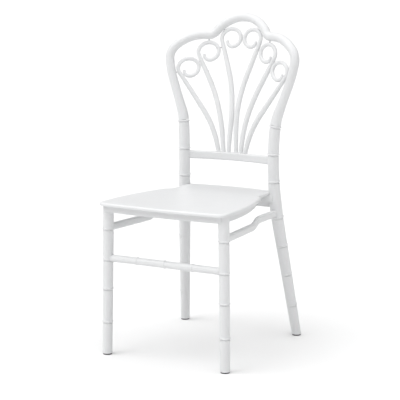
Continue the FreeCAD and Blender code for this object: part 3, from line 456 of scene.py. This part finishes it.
walkStep = {"length": 0.012, "turn": 6.0}  # the longest step and, in degrees, the widest turn in one


def walkPath(x, z, heading, moves):
    # the points of a walk in the front view; each move is a length and the angle turned in it
    flat = [(x, z)]
    for length, turn in moves:
        lengthParts = math.ceil(length / walkStep["length"])
        turnParts = math.ceil(abs(turn) / math.radians(walkStep["turn"]))
        parts = max(1, lengthParts, turnParts)
        for _ in range(parts):
            half = turn / parts / 2
            chord = length / parts * (math.sin(half) / half if half else 1.0)
            heading += half
            x += chord * math.sin(heading)
            z += chord * math.cos(heading)
            heading += half
            flat.append((x, z))
    return flat


# crown, from post to post in one bend; turns in degrees
crownSizes = {
    "flareRadius": 0.129, "flareTurn": 14.2, "flankRadius": 0.334, "flankTurn": 11.3, "cornerRadius": 0.047,
    "cornerTurn": 52.5, "shoulderRadius": 0.110, "shoulderTurn": 50.8, "cuspRadius": 0.024, "cuspTurn": 59.4,
    "footRadius": 0.0162, "footTaper": 0.070, "gap": 0.00015, "sides": 40,
}


def crownWalk(straight, lobeRadius):
    # half the crown: its points, the heading of its straight flank and the heading at the foot of the lobe
    def bend(part, side):
        turn = math.radians(crownSizes[part + "Turn"])
        return crownSizes[part + "Radius"] * turn, side * turn

    foot = postCentre(postSizes["top"])
    moves = [bend("flare", 1), (straight, 0.0), bend("flank", -1), bend("corner", -1)]
    moves += [bend("shoulder", -1), bend("cusp", 1)]
    lobe = flareAngle + sum(turn for length, turn in moves)
    moves.append((lobeRadius * (math.pi / 2 + lobe), -(math.pi / 2 + lobe)))
    flat = walkPath(foot.x, foot.z + crownSizes["gap"], flareAngle, moves)
    return flat, flareAngle + moves[0][1], lobe


# two lengths close the half crown: its straight flank, and the radius of the top lobe. A walk with next to
# nothing of both shows how far it stays short
tiny = 1e-6
probe, lineAngle, lobeAngle = crownWalk(tiny, tiny)
shortX = -probe[-1][0]
shortZ = crownTop - probe[-1][1]
lobeX = -math.cos(lobeAngle)
lobeZ = math.sin(lobeAngle) + 1
divisor = math.sin(lineAngle) * lobeZ - math.cos(lineAngle) * lobeX
crownFlank = (shortX * lobeZ - shortZ * lobeX) / divisor
crownLobe = (math.sin(lineAngle) * shortZ - math.cos(lineAngle) * shortX) / divisor
halfCrown = crownWalk(crownFlank, crownLobe)[0]
crownRight = [onBack(x, z) for x, z in halfCrown[:-1]]
crownTopPoint = onBack(0.0, crownTop)
crownLeft = [Vector((-point.x, point.y, point.z)) for point in reversed(crownRight)]
crownPath = Path(crownRight + [crownTopPoint] + crownLeft)


def crownRadius(place):
    height = min(crownPath.at(place)[0].z - postSizes["top"], crownSizes["footTaper"])
    return blend(crownSizes["footRadius"], backShape["tubeRadius"], height / crownSizes["footTaper"])


crown = turnedRod("crownBow", [(place, crownRadius(place)) for place in crownPath.reach], crownSizes["sides"])
bendAlong(crown, crownPath)
smoothTube(crown)
keep(crown, "crown_bow")
print("crown bent")

# spindles: up from the rail, out in a bend, straight, and round into a scroll; angles in degrees
spindleSizes = {
    "footHeight": 0.54362, "footWidth": 0.0130, "middleWidth": 0.0162, "scrollWidth": 0.0122,
    "tailWidth": 0.0094, "thickness": 0.0116, "widen": 1.09, "scrollRadius": 0.0266, "underRadius": 0.0245,
    "underTurn": 80.0, "tailRadius": 0.0140, "tailTurn": 105.0, "tipLength": 0.8,
    "tipAngles": (25, 45, 62, 76, 85), "spare": 0.004, "sides": 32,
}
spindleFan = {
    "inner": {
        "footX": 0.0123, "start": -2.1, "run": 0.0818, "bend": 0.4536, "eyeX": 0.0353, "eyeDrop": 0.0751,
    },
    "middle": {
        "footX": 0.0286, "start": 5.3, "run": 0.0328, "bend": 0.4959, "eyeX": 0.0986, "eyeDrop": 0.1153,
    },
    "outer": {
        "footX": 0.0443, "start": 12.2, "run": 0.0193, "bend": 0.2902, "eyeX": 0.1511, "eyeDrop": 0.1632,
    },
}


def spindleMoves(way):
    # the bend ends where a straight run just touches the scroll
    start = math.radians(way["start"])
    aside = (way["eyeX"] - way["footX"]) / spindleSizes["widen"]
    spanX = aside - way["run"] * math.sin(start) - way["bend"] * math.cos(start)
    eyeHeight = crownTop + backShape["tubeRadius"] - way["eyeDrop"]
    up = eyeHeight - spindleSizes["footHeight"]
    spanZ = up - way["run"] * math.cos(start) + way["bend"] * math.sin(start)
    span = math.hypot(spanX, spanZ)
    touch = way["bend"] + spindleSizes["scrollRadius"]
    leave = math.atan2(spanX, spanZ) + math.asin(touch / span)
    under = math.radians(spindleSizes["underTurn"])
    tail = math.radians(spindleSizes["tailTurn"])
    return [
        (spindleSizes["spare"] + way["run"], 0.0),
        (way["bend"] * (leave - start), leave - start),
        (math.sqrt(span * span - touch * touch), 0.0),
        (spindleSizes["scrollRadius"] * (leave + math.pi), -(leave + math.pi)),
        (spindleSizes["underRadius"] * under, -under),
        (spindleSizes["tailRadius"] * tail, -tail),
    ]


def scrollSpindle(kind):
    way = spindleFan[kind]
    start = math.radians(way["start"])
    moves = spindleMoves(way)
    spare = spindleSizes["spare"]
    footX = way["footX"] / spindleSizes["widen"] - spare * math.sin(start)
    footZ = spindleSizes["footHeight"] - spare * math.cos(start)
    flat = walkPath(footX, footZ, start, moves)
    path = Path([onBack(x * spindleSizes["widen"], z) for x, z in flat])
    foot, bend, straight, _, _, tail = (length for length, turn in moves)
    # the walk grows as it is widened and laid on the back
    grown = path.length / sum(length for length, turn in moves)
    bendEnd = (foot + bend) * grown
    scrollStart = bendEnd + straight * grown
    tailStart = path.length - tail * grown

    def widthAt(place):
        if place < bendEnd:
            swell = math.sin(math.pi / 2 * min(1.0, 2 * place / bendEnd))
            return blend(spindleSizes["footWidth"], spindleSizes["middleWidth"], swell)
        if place < scrollStart:
            share = (place - bendEnd) / (scrollStart - bendEnd)
            return blend(spindleSizes["middleWidth"], spindleSizes["scrollWidth"], share)
        share = (place - tailStart) / (path.length - tailStart)
        return blend(spindleSizes["scrollWidth"], spindleSizes["tailWidth"], share)

    rows = [(place, widthAt(place) / 2) for place in path.reach]
    tip = spindleSizes["tailWidth"] / 2
    for angle in spindleSizes["tipAngles"]:
        slope = math.radians(angle)
        rows.append((path.length + spindleSizes["tipLength"] * tip * math.sin(slope), tip * math.cos(slope)))
    flatness = spindleSizes["thickness"] / spindleSizes["middleWidth"]
    name = "scrollSpindle" + kind.capitalize()
    right = turnedRod(name + "Right", rows, spindleSizes["sides"])
    bendAlong(right, path, flatness)
    trimBelow(right, spindleSizes["footHeight"])
    smoothTube(right)
    keep(onLeft(right, name + "Left"), "scroll_spindle_%s_left" % kind)
    keep(right, "scroll_spindle_%s_right" % kind)


for kind in spindleFan:
    scrollSpindle(kind)
print("spindles scrolled")

# floor and light
studioFloor = {"size": 300.0, "colour": (0.86, 0.86, 0.86, 1), "roughness": 0.9}
bpy.ops.object.select_all(action="DESELECT")
bpy.ops.mesh.primitive_plane_add(size=studioFloor["size"], location=(0, 0, 0))
floor = bpy.context.object
floor.name = "floor"
floorFinish = Finish("paleFloor")
floorFinish.give("Base Color", studioFloor["colour"])
floorFinish.give("Roughness", studioFloor["roughness"])
floor.data.materials.append(floorFinish.material)

# each sun has its heading from the chair's front, its height and its spread, in degrees, and its power
studioLight = {
    "air": 0.2, "airColour": (1, 1, 1, 1), "key": (-42.0, 44.0, 60.0, 1.3), "fill": (60.0, 48.0, 90.0, 0.5),
    "top": (0.0, 88.0, 100.0, 2.3),
}
world = bpy.data.worlds.new("studioAir")
world.use_nodes = True
background = world.node_tree.nodes["Background"]
background.inputs["Color"].default_value = studioLight["airColour"]
background.inputs["Strength"].default_value = studioLight["air"]
bpy.context.scene.world = world


def studioSun(name, heading, height, spread, power):
    lamp = bpy.data.lights.new(name, "SUN")
    lamp.angle = math.radians(spread)
    lamp.energy = power
    holder = bpy.data.objects.new(name, lamp)
    holder.rotation_euler = (math.radians(90.0 - height), 0.0, math.radians(heading))
    bpy.context.scene.collection.objects.link(holder)


for sun in ("key", "fill", "top"):
    studioSun(sun + "Light", *studioLight[sun])
bpy.context.scene.view_settings.view_transform = "Standard"
print("floor and lights set")
